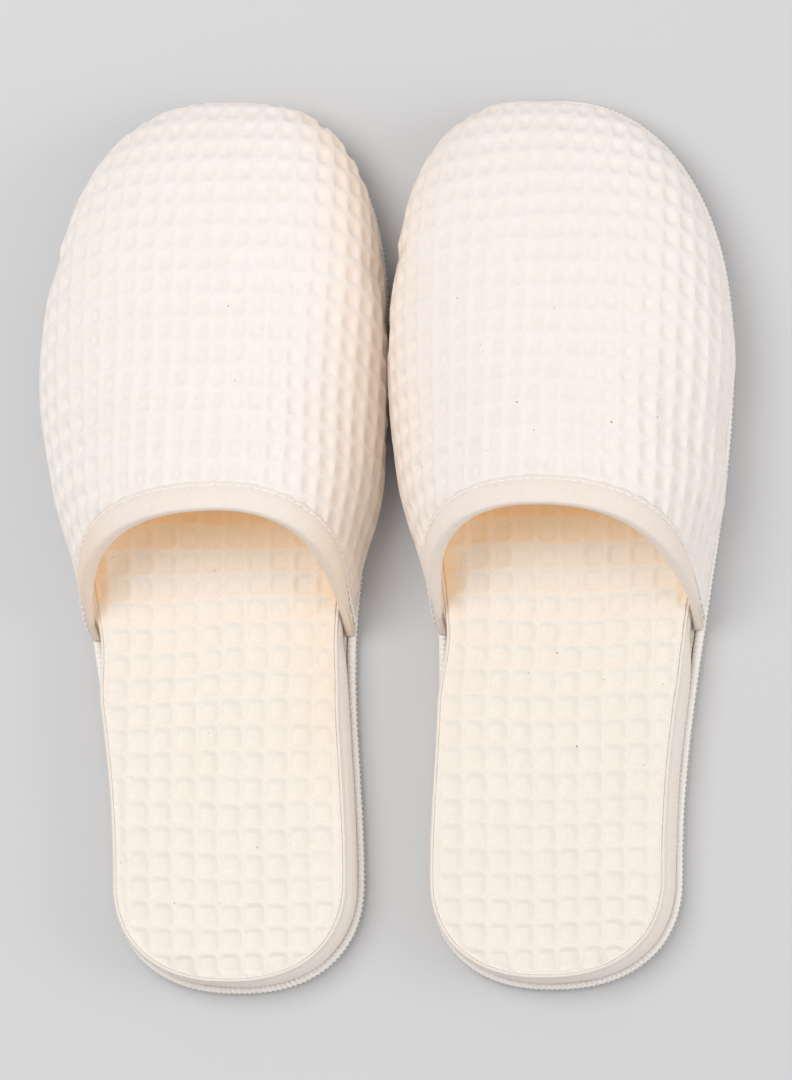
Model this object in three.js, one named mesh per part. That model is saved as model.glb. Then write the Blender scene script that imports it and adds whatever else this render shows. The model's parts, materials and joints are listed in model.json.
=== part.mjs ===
// A pair of closed-toe spa slippers: waffle cotton uppers on a flat layered sole, left and right mirrored.
// Millimetres, +X to the right, +Y to the toes, +Z up; the origin is on the floor at the middle of the pair.
// Within a slipper, v runs from the heel's end to the toe's end, and u runs outwards from its middle line.
import * as THREE from "three";
import { mergeVertices } from "three/addons/utils/BufferGeometryUtils.js";

// ---- driving dimensions -------------------------------------------------------------------------

const LENGTH = 290; // heel end to toe end of one sole
const SPACING = 51.3; // from the pair's middle to the middle line of each slipper
// The rounded ends: half width, depth and squareness on each side of the middle line.
const HEEL = {
  outer: { half: 41.6, depth: 36, power: 2.3 },
  inner: { half: 40.4, depth: 36, power: 2.3 },
};
const TOE = {
  outer: { half: 59, depth: 86, power: 2.2 },
  inner: { half: 48.5, depth: 77, power: 2.45 },
};
const OUTER_EASE = 1.05; // how late the outer side widens towards the ball of the foot
const WAIST = { half: 37.6, v: 105 }; // narrowest place of the inner side

const FLEX = { v: 98, gap: 0.6 }; // the sole's bending line, and the gap that parts its layers there
const GAP = 0.2; // between one layer and the next
const OUTSOLE = { thick: 2.2, inset: 0.7 }; // inset: how far an edge lies inside the sole's outline
const BOARD = { thick: 2.8, inset: 3.1 };
const FOAM_THICK = 8.6;
const COVER_THICK = 1.4;
const WELT_R = 1.4;
const THREAD_R = 0.3;
const EDGE_STITCH_ANGLE = 0.45; // radians above the welt's middle
const BAND = { thick: 1, round: 0.3, heelInset: 2.8, cornerInset: 4.5, foreInset: 9.6, fromV: 60, toV: 255 };

const FOOT = { cornerInset: 0.5, toeInset: 2.6, fromV: 150, toV: 240 }; // the upper's foot line
const THROAT = { cornerV: 117, topV: 152.5, power: 1 };
const RIDGE = { height: 60, slope: 0.2, dropV: 205, power: 2.9 }; // the upper's highest line
const ARCH = { outer: 2.25, inner: 2.15, toe: 2.8, fromV: 175, toV: 260 }; // squareness of its sections
// How far the upper swells out past its foot line, and how high up it is full.
const BULGE = { outer: 5, inner: 5, toe: 4, rise: 9 };
const BULGE_V = { start: 122, full: 165, toeFrom: 205, toeTo: 250, endFrom: 250, endPower: 2 };
const SHELL = { from: 0, to: 0.9 }; // depths below the upper's outer surface
const INTERLINING = { from: 1.2, to: 1.9 };
const LINING = { from: 2.2, to: 2.6 };
const BINDING = { outerLeg: 8, innerLeg: 6, skin: 0.6, lip: 1.2, bevel: 0.5, clear: 0.25 };
const BINDING_TAPER = { tip: 0.3, fullFrom: 0.6 }; // width kept at the corners, and the sine where it is full
const RING_AHEAD = 1; // from the binding's front edge to the upper's next ring
const THROAT_STITCH_BACK = 1.3; // from the binding's front edge
const INSOLE_STITCH_IN = 1; // from the insole's edge

const FORE_STEPS = 8; // stations along one side, and around one half of an end
const TOE_STEPS = 8;
const HEEL_SIDE_STEPS = 4;
const HEEL_STEPS = 7;
const ARCH_STEPS = 20; // across the upper
const UPPER_STEPS = 9; // from the throat to the toe

const COLOURS = {
  waffle: [0xf6efe6, 0.95],
  lining: [0xf0e2cf, 0.95],
  tape: [0xf1e6d9, 0.9],
  thread: [0xfaf4ea, 0.8],
  foam: [0xf7f3ea, 0.9],
  board: [0xd9cfc0, 0.8],
  outsole: [0xece4d6, 0.75],
};

// ---- heights that follow from the layers --------------------------------------------------------

const boardZ = OUTSOLE.thick + GAP;
const weltZ = boardZ + WELT_R;
const foamZ = boardZ + BOARD.thick + GAP;
const coverZ = foamZ + FOAM_THICK + GAP;
const insoleTop = coverZ + COVER_THICK;
const upperZ = foamZ;
const upperEndV = LENGTH - FOOT.toeInset;

// ---- small helpers ------------------------------------------------------------------------------

const mix = (a, b, t) => a + (b - a) * t;

// A smooth step from 0 to 1.
function ease(t) {
  const c = Math.min(1, Math.max(0, t));
  return c * c * (3 - 2 * c);
}

// The width that a superellipse keeps at a share of its depth.
function roundEnd(share, power) {
  return Math.pow(Math.max(0, 1 - Math.pow(Math.max(0, share), power)), 1 / power);
}

// A closed solid with outward faces: shared corners merged, collapsed triangles dropped.
function closedSolid(positions, index) {
  const raw = new THREE.BufferGeometry();
  raw.setAttribute("position", new THREE.Float32BufferAttribute(positions, 3));
  raw.setIndex(index);
  const merged = mergeVertices(raw, 1e-3);
  const at = merged.getAttribute("position");
  const corners = merged.index.array;
  const kept = [];
  const [a, b, c] = [new THREE.Vector3(), new THREE.Vector3(), new THREE.Vector3()];
  let volume = 0;
  for (let i = 0; i < corners.length; i += 3) {
    const [p, q, r] = corners.slice(i, i + 3);
    if (p === q || q === r || r === p) continue;
    kept.push(p, q, r);
    a.fromBufferAttribute(at, p);
    b.fromBufferAttribute(at, q).cross(c.fromBufferAttribute(at, r));
    volume += a.dot(b);
  }
  if (volume < 0) kept.reverse();
  merged.setIndex(kept);
  merged.computeVertexNormals();
  return merged;
}

// Triangles that close a ring made of a row and the same row's other face in reverse.
function pairedCap(size) {
  const triangles = [];
  for (let j = 0; j + 1 < size / 2; j++) {
    const [a, b, c, d] = [j, j + 1, size - 2 - j, size - 1 - j];
    triangles.push([a, b, d], [b, c, d]);
  }
  return triangles;
}

// Triangles that close a ring whose section is the given outline, turned the way the outline turns.
function outlineCap(section) {
  const outline = section.map(([x, y]) => new THREE.Vector2(x, y));
  const turn = Math.sign(THREE.ShapeUtils.area(outline));
  return THREE.ShapeUtils.triangulateShape(outline, []).map(([a, b, c]) =>
    Math.sign(THREE.ShapeUtils.area([outline[a], outline[b], outline[c]])) === turn ? [a, b, c] : [a, c, b],
  );
}

// Joins rings of equal length into a tube and closes both ends with the cap's triangles. Patches are
// cut along their shorter diagonal, so that neighbouring layers are cut alike and stay apart.
function loft(rings, cap) {
  const size = rings[0].length;
  const points = rings.flat();
  const index = [];
  for (let i = 0; i + 1 < rings.length; i++) {
    for (let j = 0; j < size; j++) {
      const a = i * size + j;
      const b = i * size + ((j + 1) % size);
      const [c, d] = [b + size, a + size];
      if (points[a].distanceTo(points[c]) < points[b].distanceTo(points[d])) index.push(a, b, c, a, c, d);
      else index.push(a, b, d, b, c, d);
    }
  }
  const last = (rings.length - 1) * size;
  for (const [a, b, c] of cap) index.push(a, c, b, last + a, last + b, last + c);
  return closedSolid(points.flatMap((p) => p.toArray()), index);
}

// ---- the sole's outline -------------------------------------------------------------------------

// Half width on one side between the rounded ends, before any inset.
function sideHalf(side, v) {
  const [heel, toe] = [HEEL[side], TOE[side]];
  const ballV = LENGTH - toe.depth;
  if (side === "outer") {
    const t = Math.min(1, Math.max(0, (v - heel.depth) / (ballV - heel.depth)));
    return mix(heel.half, toe.half, ease(Math.pow(t, OUTER_EASE)));
  }
  if (v < WAIST.v) return mix(heel.half, WAIST.half, ease((v - heel.depth) / (WAIST.v - heel.depth)));
  return mix(WAIST.half, toe.half, ease((v - WAIST.v) / (ballV - WAIST.v)));
}

// Half width at any v forward of the heel's round, for an outline drawn in by inset.
function foreHalf(side, v, inset) {
  const toe = TOE[side];
  const share = (v - (LENGTH - toe.depth)) / (toe.depth - inset);
  return (sideHalf(side, v) - inset) * roundEnd(share, toe.power);
}

// Stations around one half of the sole, from the bending line on the outer side, around the end,
// to the bending line on the inner side.
function stations(half) {
  const fore = half === "fore";
  const startV = FLEX.v + (fore ? FLEX.gap / 2 : -FLEX.gap / 2);
  const sideSteps = fore ? FORE_STEPS : HEEL_SIDE_STEPS;
  const endSteps = fore ? TOE_STEPS : HEEL_STEPS;
  const list = [];
  for (const side of ["outer", "inner"]) {
    const end = fore ? TOE[side] : HEEL[side];
    const endV = fore ? LENGTH - end.depth : end.depth;
    const run = [];
    for (let i = 0; i < sideSteps; i++) run.push({ side, fore, v: mix(startV, endV, i / sideSteps) });
    for (let i = 0; i <= endSteps; i++) {
      const turn = (i / endSteps) * (Math.PI / 2);
      const along = end.depth * Math.pow(Math.sin(turn), 2 / end.power);
      run.push({ side, fore, v: endV + (fore ? along : -along), turn });
    }
    if (side === "outer") list.push(...run);
    else list.push(...run.reverse().slice(1));
  }
  return list;
}

// The place (u, v) of a station on an outline drawn in by inset.
function outlinePoint({ side, v, turn, fore }, inset) {
  const sign = side === "outer" ? 1 : -1;
  if (turn === undefined) return new THREE.Vector2(sign * (sideHalf(side, v) - inset), v);
  const { half, depth, power } = fore ? TOE[side] : HEEL[side];
  const across = (half - inset) * Math.pow(Math.max(0, Math.cos(turn)), 2 / power);
  const short = inset * Math.pow(Math.sin(turn), 2 / power);
  return new THREE.Vector2(sign * across, v + (fore ? -short : short));
}

// A flat layer of one half of the sole; inset is a number or a function of v.
function slab(half, inset, z, thick) {
  const corner = (s) => outlinePoint(s, typeof inset === "function" ? inset(s.v) : inset);
  const shape = new THREE.Shape(stations(half).map(corner));
  const solid = new THREE.ExtrudeGeometry(shape, { depth: thick, bevelEnabled: false, curveSegments: 1 });
  return solid.translate(0, 0, z);
}

// A strip along the edge of one half of the sole. Its section is points [inset, z]; base, a function
// of v, is added to each inset.
function edgeStrip(half, section, base = () => 0) {
  const rings = stations(half).map((s) =>
    section.map(([inset, z]) => {
      const at = outlinePoint(s, inset + base(s.v));
      return new THREE.Vector3(at.x, at.y, z);
    }),
  );
  return loft(rings, outlineCap(section));
}

// A round section for a strip or a thread.
function roundSection(x, y, radius, sides) {
  const corner = (_, i) => {
    const angle = ((i + 0.5) / sides) * Math.PI * 2;
    return [x + radius * Math.cos(angle), y + radius * Math.sin(angle)];
  };
  return Array.from({ length: sides }, corner);
}

// ---- the upper's surface ------------------------------------------------------------------------

// v of the throat's edge, where angle runs across the upper from 0 (outer foot) to pi (inner foot).
function throatV(angle) {
  return mix(THROAT.cornerV, THROAT.topV, Math.pow(Math.sin(angle), THROAT.power));
}

// How much further out than at the toe the upper's foot line lies.
function footOut(v) {
  return (FOOT.toeInset - FOOT.cornerInset) * (1 - ease((v - FOOT.fromV) / (FOOT.toV - FOOT.fromV)));
}

// How far the upper's side swells out beyond its foot line.
function bulgeAt(side, v) {
  const behind = ease((v - BULGE_V.start) / (BULGE_V.full - BULGE_V.start));
  const ahead = roundEnd((v - BULGE_V.endFrom) / (upperEndV - BULGE_V.endFrom), BULGE_V.endPower);
  const most = mix(BULGE[side], BULGE.toe, ease((v - BULGE_V.toeFrom) / (BULGE_V.toeTo - BULGE_V.toeFrom)));
  return most * behind * ahead;
}

// A point of the upper at a place v along it, a given depth below its outer surface.
function upperPoint(angle, v, depth) {
  const side = angle < Math.PI / 2 ? "outer" : "inner";
  const sign = side === "outer" ? 1 : -1;
  const power = 2 / mix(ARCH[side], ARCH.toe, ease((v - ARCH.fromV) / (ARCH.toV - ARCH.fromV)));
  const crown = RIDGE.height - RIDGE.slope * (v - THROAT.topV) - upperZ - depth;
  const drop = roundEnd((v - RIDGE.dropV) / (upperEndV - RIDGE.dropV - depth), RIDGE.power);
  const rise = crown * drop * Math.pow(Math.max(0, Math.sin(angle)), power);
  const bulge = bulgeAt(side, v) * ease(rise / BULGE.rise);
  const half = foreHalf(side, v, FOOT.toeInset + depth) + footOut(v) + bulge;
  const across = half * Math.pow(Math.abs(Math.cos(angle)), power);
  return new THREE.Vector3(sign * across, v, upperZ + rise);
}

// How much of its full width the binding keeps: it narrows towards each corner.
const bindingWidth = (angle) => mix(BINDING_TAPER.tip, 1, ease(Math.sin(angle) / BINDING_TAPER.fullFrom));

// A layer of the upper between two depths. Its first two rings are the throat's edge and a line
// just in front of the binding, and the others close up towards the toe.
function upperLayer({ from, to }) {
  const rings = [];
  for (let i = -1; i <= UPPER_STEPS; i++) {
    const t = 1 - Math.pow(1 - Math.max(0, i) / UPPER_STEPS, 2);
    const forward = i < 0 ? 0 : BINDING.outerLeg + RING_AHEAD;
    const arch = (depth) =>
      Array.from({ length: ARCH_STEPS + 1 }, (_, j) => {
        const angle = (j / ARCH_STEPS) * Math.PI;
        const startV = throatV(angle) + forward * bindingWidth(angle);
        return upperPoint(angle, mix(startV, upperEndV - depth, t), depth);
      });
    rings.push([...arch(from), ...arch(to).reverse()]);
  }
  return loft(rings, pairedCap(rings[0].length));
}

// A strip along the throat's edge. Its section is points [distance from the edge, depth].
function throatStrip(section) {
  const rings = [];
  for (let j = 0; j <= ARCH_STEPS; j++) {
    const angle = (j / ARCH_STEPS) * Math.PI;
    const width = bindingWidth(angle);
    rings.push(
      section.map(([forward, depth]) =>
        upperPoint(angle, throatV(angle) + (forward > 0 ? forward * width : forward), depth),
      ),
    );
  }
  return loft(rings, outlineCap(section));
}

// ---- the pieces ---------------------------------------------------------------------------------

// How far the insole's edge band lies in: it moves inwards to leave room for the upper.
function bandInset(v) {
  const forward = ease((v - BAND.fromV) / (THROAT.cornerV - BAND.fromV));
  const beside = mix(BAND.heelInset, BAND.cornerInset, forward);
  return mix(beside, BAND.foreInset, ease((v - THROAT.topV) / (BAND.toV - THROAT.topV)));
}
const insoleInset = (v) => bandInset(v) + BAND.thick + GAP;

// A tape folded round the throat's edge: a U whose legs lie on both faces of the upper.
function binding() {
  const out = SHELL.from - BINDING.clear;
  const inn = LINING.to + BINDING.clear;
  const { outerLeg, innerLeg, skin, lip, bevel } = BINDING;
  return throatStrip([
    [outerLeg, out],
    [outerLeg, out - skin],
    [bevel - lip, out - skin],
    [-lip, out - skin + bevel],
    [-lip, inn + skin - bevel],
    [bevel - lip, inn + skin],
    [innerLeg, inn + skin],
    [innerLeg, inn],
    [skin - lip, inn],
    [skin - lip, out],
  ]);
}

function throatStitch() {
  const depth = SHELL.from - BINDING.clear - BINDING.skin - BINDING.clear - THREAD_R;
  return throatStrip(roundSection(BINDING.outerLeg - THROAT_STITCH_BACK, depth, THREAD_R, 5));
}

// The insole's edge tape: a thin wall with a rounded top ridge.
function sideBand(half) {
  const { thick, round } = BAND;
  return edgeStrip(
    half,
    [
      [0, foamZ],
      [0, insoleTop - round],
      [round, insoleTop],
      [thick - round, insoleTop],
      [thick, insoleTop - round],
      [thick, foamZ],
    ],
    bandInset,
  );
}

function insoleStitch(half) {
  const inset = insoleInset(FLEX.v) - bandInset(FLEX.v) + INSOLE_STITCH_IN;
  return edgeStrip(half, roundSection(inset, insoleTop + THREAD_R + BINDING.clear, THREAD_R, 5), bandInset);
}

// The overlock thread runs along the welt's outer side.
function edgeStitch(half) {
  const reach = WELT_R + GAP + THREAD_R;
  const inset = WELT_R - reach * Math.cos(EDGE_STITCH_ANGLE);
  return edgeStrip(half, roundSection(inset, weltZ + reach * Math.sin(EDGE_STITCH_ANGLE), THREAD_R, 5));
}

function slipper(prefix) {
  const group = new THREE.Group();
  const add = (name, geometry, finish) => {
    const [color, roughness] = COLOURS[finish];
    const material = new THREE.MeshStandardMaterial({ color, roughness, metalness: 0 });
    const mesh = new THREE.Mesh(geometry, material);
    mesh.name = prefix + name;
    group.add(mesh);
  };
  add("upper_shell", upperLayer(SHELL), "waffle");
  add("upper_interlining", upperLayer(INTERLINING), "foam");
  add("upper_lining", upperLayer(LINING), "lining");
  add("throat_binding", binding(), "tape");
  add("throat_stitch", throatStitch(), "thread");
  for (const half of ["fore", "heel"]) {
    add(`insole_cover_${half}`, slab(half, insoleInset, coverZ, COVER_THICK), "waffle");
    add(`insole_foam_${half}`, slab(half, insoleInset, foamZ, FOAM_THICK), "foam");
    add(`side_band_${half}`, sideBand(half), "tape");
    add(`insole_stitch_${half}`, insoleStitch(half), "thread");
    add(`midsole_board_${half}`, slab(half, BOARD.inset, boardZ, BOARD.thick), "board");
    add(`edge_welt_${half}`, edgeStrip(half, roundSection(WELT_R, weltZ, WELT_R, 8)), "tape");
    add(`edge_stitch_${half}`, edgeStitch(half), "thread");
    add(`outsole_${half}`, slab(half, OUTSOLE.inset, 0, OUTSOLE.thick), "outsole");
  }
  return group;
}

const pair = new THREE.Group();
const right = slipper("right_");
right.position.set(SPACING, -LENGTH / 2, 0);
const left = slipper("left_");
left.position.set(-SPACING, -LENGTH / 2, 0);
left.scale.x = -1; // the mirror image
pair.add(right, left);

export default pair;
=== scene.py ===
"""Looks of a pair of closed-toe spa slippers: waffle-cotton uppers and footbeds, and overlocked soles.

Shapes are worked out in millimetres inside one slipper: u runs outwards from its middle line, v from the
heel's end to the toe's end, z up from the floor. place() turns them into the frame's metres and mirrors
the left one.
"""

import json
import math

import bmesh
import bpy
import numpy as np
from mathutils import Matrix, Vector

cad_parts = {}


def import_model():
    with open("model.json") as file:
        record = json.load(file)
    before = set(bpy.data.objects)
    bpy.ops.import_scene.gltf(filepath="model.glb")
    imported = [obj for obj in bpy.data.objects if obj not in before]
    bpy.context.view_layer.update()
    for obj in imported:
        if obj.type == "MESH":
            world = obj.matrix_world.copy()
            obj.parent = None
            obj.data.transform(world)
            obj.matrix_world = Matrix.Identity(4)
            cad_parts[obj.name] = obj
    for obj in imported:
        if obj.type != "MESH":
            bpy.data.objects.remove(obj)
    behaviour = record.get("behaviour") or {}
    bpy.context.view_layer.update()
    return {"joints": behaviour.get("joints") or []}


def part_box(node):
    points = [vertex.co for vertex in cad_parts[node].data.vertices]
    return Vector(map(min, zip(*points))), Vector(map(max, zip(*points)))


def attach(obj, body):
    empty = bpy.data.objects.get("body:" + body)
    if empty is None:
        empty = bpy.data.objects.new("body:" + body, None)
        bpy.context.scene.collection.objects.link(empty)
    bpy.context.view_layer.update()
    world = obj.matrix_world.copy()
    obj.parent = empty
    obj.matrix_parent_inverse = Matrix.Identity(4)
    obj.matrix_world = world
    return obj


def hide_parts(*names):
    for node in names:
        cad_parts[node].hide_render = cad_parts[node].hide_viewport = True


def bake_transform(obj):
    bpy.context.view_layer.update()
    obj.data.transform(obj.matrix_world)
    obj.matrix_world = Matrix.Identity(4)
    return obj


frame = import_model()

MM = 0.001
SIDES = {"right": 1, "left": -1}

# ---- places from the frame ----------------------------------------------------------------------

BEND = Vector(next(j for j in frame["joints"] if j["name"] == "right_sole_flex")["pos_m"])
OUTSOLE_INSET, BOARD_INSET = 0.7, 3.1  # how far inside the sole's outline these two lie
HEEL_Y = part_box("right_outsole_heel")[0].y / MM - OUTSOLE_INSET
TOE_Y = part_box("right_outsole_fore")[1].y / MM + OUTSOLE_INSET
LENGTH = TOE_Y - HEEL_Y
MIDDLE_X = BEND.x / MM
OUTSOLE_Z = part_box("right_outsole_fore")[1].z / MM
BOARD_LOW, BOARD_TOP = (c.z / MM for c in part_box("right_midsole_board_fore"))
UPPER_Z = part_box("right_upper_shell")[0].z / MM
RIDGE_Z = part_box("right_upper_shell")[1].z / MM
COVER_LOW, COVER_TOP = (c.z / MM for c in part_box("right_insole_cover_heel"))
FOAM_LOW, FOAM_TOP = (c.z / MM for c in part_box("right_insole_foam_heel"))
# The footbed's top leans to the left: how far, from which height up, and where along the sole that ends.
BED_LEAN = {"far": 1.3, "above": FOAM_LOW + 0.5, "from": 90, "over": 24}

# ---- shape of the sole, as in the CAD -----------------------------------------------------------

OUTER, INNER = 1, -1
HEEL = {OUTER: {"half": 41.6, "depth": 36, "power": 2.3}, INNER: {"half": 40.4, "depth": 36, "power": 2.3}}
TOE = {OUTER: {"half": 59, "depth": 86, "power": 2.2}, INNER: {"half": 48.5, "depth": 77, "power": 2.45}}
OUTER_EASE = 1.05
WAIST = {"half": 37.6, "v": 105}
WELT_R = 1.4
BAND = {"thick": 1.0, "heel": 2.8, "corner": 4.5, "fore": 9.6, "from": 94, "to": 255}

# ---- shape of the upper, as in the CAD but for its leaning --------------------------------------

FOOT = {"corner": 0.5, "toe": 2.6, "from": 150, "to": 240}
THROAT = {"corner": 117, "top": 152.5, "power": 1.0}
RIDGE = {"slope": 0.2, "drop": 205, "power": 2.9}
ARCH = {OUTER: 2.25, INNER: 2.15, "toe": 2.8, "from": 175, "to": 260}
BULGE = {OUTER: 5.0, INNER: 5.0, "toe": 4.0, "rise": 9, "start": 122, "full": 165}
BULGE_TOE = {"from": 205, "to": 250, "end_from": 250, "power": 2.0}
# No two uppers lie alike. How far each side swells past the CAD's bulge: over the ball, and by the throat.
LEAN = {("left", OUTER): 3.0, ("left", INNER): -0.5, ("right", OUTER): -1.5, ("right", INNER): 1.5}
LEAN_FROM, LEAN_OVER = 150, 45
BY_THROAT = {("left", OUTER): -1.2, ("left", INNER): 0.0, ("right", OUTER): -3.2, ("right", INNER): 0.4}
BY_THROAT_RUN = {"from": 120, "over": 25, "end_from": 165, "end_over": 40}
# How far the toe leans over its foot line: in the middle, and how much more on the outer side.
TOE_PUSH = {"left": (4.3, 0.8), "right": (1.8, -1.2)}
TOE_PUSH_FROM, TOE_PUSH_OVER = 235, 45
SHELL, INTERLINING, LINING = (0.0, 0.9), (1.2, 1.9), (2.2, 2.6)
BINDING = {"outer": 8.0, "inner": 6.0, "skin": 0.6, "lip": 1.2, "clear": 0.25, "tip": 0.12}


# ---- small helpers ------------------------------------------------------------------------------


def mix(a, b, t):
    return a + (b - a) * t


def ease(t):
    c = np.clip(t, 0.0, 1.0)
    return c * c * (3 - 2 * c)


def round_end(share, power):
    return np.maximum(0.0, 1 - np.clip(share, 0, None) ** power) ** (1 / power)


def place(points, side):
    """Slipper millimetres to the frame's metres; the cushion behind the upper leans to the left."""
    p = np.asarray(points, float).reshape(-1, 3)
    high = ease((p[:, 2] - BED_LEAN["above"]) / (COVER_TOP - BED_LEAN["above"]))
    lean = BED_LEAN["far"] * high * (1 - ease((p[:, 1] - BED_LEAN["from"]) / BED_LEAN["over"]))
    x = SIDES[side] * (MIDDLE_X + p[:, 0]) - lean
    return np.stack([x, HEEL_Y + p[:, 1], p[:, 2]], 1) * MM


def waves(x, y, seed, size, count=6):
    """Gentle random swell between -1 and 1, the same on every run; size is its usual width."""
    rng = np.random.default_rng(seed)
    total = np.zeros(np.broadcast(x, y).shape)
    for _ in range(count):
        angle, phase = rng.uniform(0, 2 * np.pi, 2)
        turn = 2 * np.pi / (size * rng.uniform(0.7, 1.5))
        total += np.sin((x * np.cos(angle) + y * np.sin(angle)) * turn + phase)
    return total / count * 1.4


def grid_faces(rows, cols, wrap_rows=False, wrap_cols=False, start=0):
    """Four-sided faces of a grid of points stored row by row."""
    r, c = np.meshgrid(
        np.arange(rows if wrap_rows else rows - 1),
        np.arange(cols if wrap_cols else cols - 1),
        indexing="ij",
    )
    r2, c2 = (r + 1) % rows, (c + 1) % cols
    quads = [r * cols + c, r * cols + c2, r2 * cols + c2, r2 * cols + c]
    return np.stack(quads, -1).reshape(-1, 4) + start


def make_mesh(name, points, faces, side, material, weave=None):
    """A smooth closed mesh in the frame.

    weave gives each point's place on the cloth, in millimetres, and how much painted shade it gets.
    """
    corners = np.concatenate([f.ravel() for f in faces])
    sizes = np.concatenate([np.full(len(f), f.shape[1]) for f in faces])
    mesh = bpy.data.meshes.new(name)
    mesh.vertices.add(len(points))
    mesh.vertices.foreach_set("co", place(points, side).ravel())
    mesh.loops.add(len(corners))
    mesh.loops.foreach_set("vertex_index", corners.astype(np.int32))
    mesh.polygons.add(len(sizes))
    starts = np.concatenate([[0], np.cumsum(sizes)[:-1]])
    mesh.polygons.foreach_set("loop_start", starts.astype(np.int32))
    mesh.update(calc_edges=True)
    if weave is not None:
        data = np.asarray(weave, np.float32)
        attribute = mesh.attributes.new("weave", "FLOAT_VECTOR", "POINT")
        attribute.data.foreach_set("vector", data.ravel())
    tidy = bmesh.new()
    tidy.from_mesh(mesh)
    bmesh.ops.remove_doubles(tidy, verts=tidy.verts, dist=2e-6)
    bmesh.ops.recalc_face_normals(tidy, faces=tidy.faces)
    tidy.to_mesh(mesh)
    tidy.free()
    mesh.shade_smooth()
    mesh.materials.append(material)
    piece = bpy.data.objects.new(f"{side}_{name}", mesh)
    bpy.context.scene.collection.objects.link(piece)
    return piece


def thick_sheet(top, bottom, step):
    """Points and faces of a closed sheet: a fine top, and a bottom with every step-th row and column."""
    rows, cols = top.shape[:2]
    low = bottom[::step, ::step]
    low_rows, low_cols = low.shape[:2]
    start = rows * cols
    points = np.concatenate([top.reshape(-1, 3), low.reshape(-1, 3)])
    faces = [grid_faces(rows, cols), grid_faces(low_rows, low_cols, start=start)]
    fine = border(rows, cols)
    coarse = border(low_rows, low_cols) + start
    fine = np.append(fine, fine[0])
    coarse = np.append(coarse, coarse[0])
    fans = []
    for k in range(len(coarse) - 1):
        a, b = coarse[k], coarse[k + 1]
        for i in range(step):
            t = fine[k * step + i]
            fans.append((t, fine[k * step + i + 1], a if i < step // 2 else b))
            if i == step // 2:
                fans.append((t, b, a))
    return points, faces + [np.array(fans)]


def weave_data(a, b, painted_shade):
    """The weave attribute for the points of a thick_sheet: place on the cloth, and painted shade."""
    data = np.stack(np.broadcast_arrays(a, b, painted_shade), -1)
    return np.concatenate([data.reshape(-1, 3), data[::LOW_STEP, ::LOW_STEP].reshape(-1, 3)])


def border(rows, cols):
    """Indices of a grid's outer points, once round."""
    index = np.arange(rows * cols).reshape(rows, cols)
    return np.concatenate([index[0, :-1], index[:-1, -1], index[-1, :0:-1], index[:0:-1, 0]])


def ring_mesh(name, grid, side, material, closed, weave=None):
    """A tube from rings of points, grid[ring, point]. An open tube gets a flat cap at each end."""
    rings, size = grid.shape[:2]
    faces = [grid_faces(rings, size, wrap_rows=closed, wrap_cols=True)]
    if not closed:
        faces += [np.arange(size)[None, :], np.arange(size)[None, :] + (rings - 1) * size]
    flat = None if weave is None else weave.reshape(-1, 3)
    return make_mesh(name, grid.reshape(-1, 3), faces, side, material, flat)


# ---- the sole's outline -------------------------------------------------------------------------


def side_half(sign, v):
    heel, toe = HEEL[sign], TOE[sign]
    ball = LENGTH - toe["depth"]
    if sign == OUTER:
        t = np.clip((v - heel["depth"]) / (ball - heel["depth"]), 0, 1)
        return mix(heel["half"], toe["half"], ease(t**OUTER_EASE))
    behind = mix(heel["half"], WAIST["half"], ease((v - heel["depth"]) / (WAIST["v"] - heel["depth"])))
    ahead = mix(WAIST["half"], toe["half"], ease((v - WAIST["v"]) / (ball - WAIST["v"])))
    return np.where(v < WAIST["v"], behind, ahead)


def fore_half(sign, v, inset):
    toe = TOE[sign]
    share = (v - (LENGTH - toe["depth"])) / (toe["depth"] - inset)
    return (side_half(sign, v) - inset) * round_end(share, toe["power"])


def half_at(sign, v, inset):
    """Half width at any v, heel included."""
    heel = HEEL[sign]
    share = np.clip((heel["depth"] - v) / (heel["depth"] - inset), 0, None)
    behind = (heel["half"] - inset) * round_end(share, heel["power"])
    return np.where(v < heel["depth"], behind, fore_half(sign, v, inset))


def outline(count):
    """count stations evenly round the sole, as (sign, end, v0, turn) arrays for outline_at."""
    runs = []
    steps = 400
    for sign, order in ((OUTER, 1), (INNER, -1)):
        depth, ball = HEEL[sign]["depth"], LENGTH - TOE[sign]["depth"]
        turn = np.linspace(0, np.pi / 2, steps)
        heel = [(sign, -1, depth, t) for t in turn[::-1]]
        straight = [(sign, 0, v, 0.0) for v in np.linspace(depth, ball, steps)[1:-1]]
        toe = [(sign, 1, ball, t) for t in turn]
        runs += (heel + straight + toe)[::order]
    table = np.array(runs, float)
    uv = outline_at(table, 0.0)
    gaps = np.hypot(*np.diff(uv, axis=0, append=uv[:1]).T)
    at = np.concatenate([[0], np.cumsum(gaps)[:-1]])
    wanted = np.arange(count) / count * gaps.sum()
    return table[np.searchsorted(at, wanted, side="right") - 1], gaps.sum()


def outline_at(table, inset):
    """(u, v) of stations on the outline drawn in by inset, a number or one value for each station."""
    sign, end, v0, turn = table.T
    ends = [HEEL[int(s)] if e < 0 else TOE[int(s)] for s, e in zip(sign, end)]
    half, depth, power = np.array([list(e.values()) for e in ends]).T
    across = (half - inset) * np.maximum(0, np.cos(turn)) ** (2 / power)
    along = (depth - inset) * np.sin(turn) ** (2 / power)
    flat = np.array([side_half(int(s), v) for s, v in zip(sign, v0)]) - inset
    u = np.where(end == 0, flat, across)
    return np.stack([sign * u, v0 + end * along], 1)


def band_inset(v):
    """How far in the footbed's edge band lies: further in where the upper stands beside it."""
    beside = mix(BAND["heel"], BAND["corner"], ease((v - BAND["from"]) / (THROAT["corner"] - BAND["from"])))
    return mix(beside, BAND["fore"], ease((v - THROAT["top"]) / (BAND["to"] - THROAT["top"])))


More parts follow.
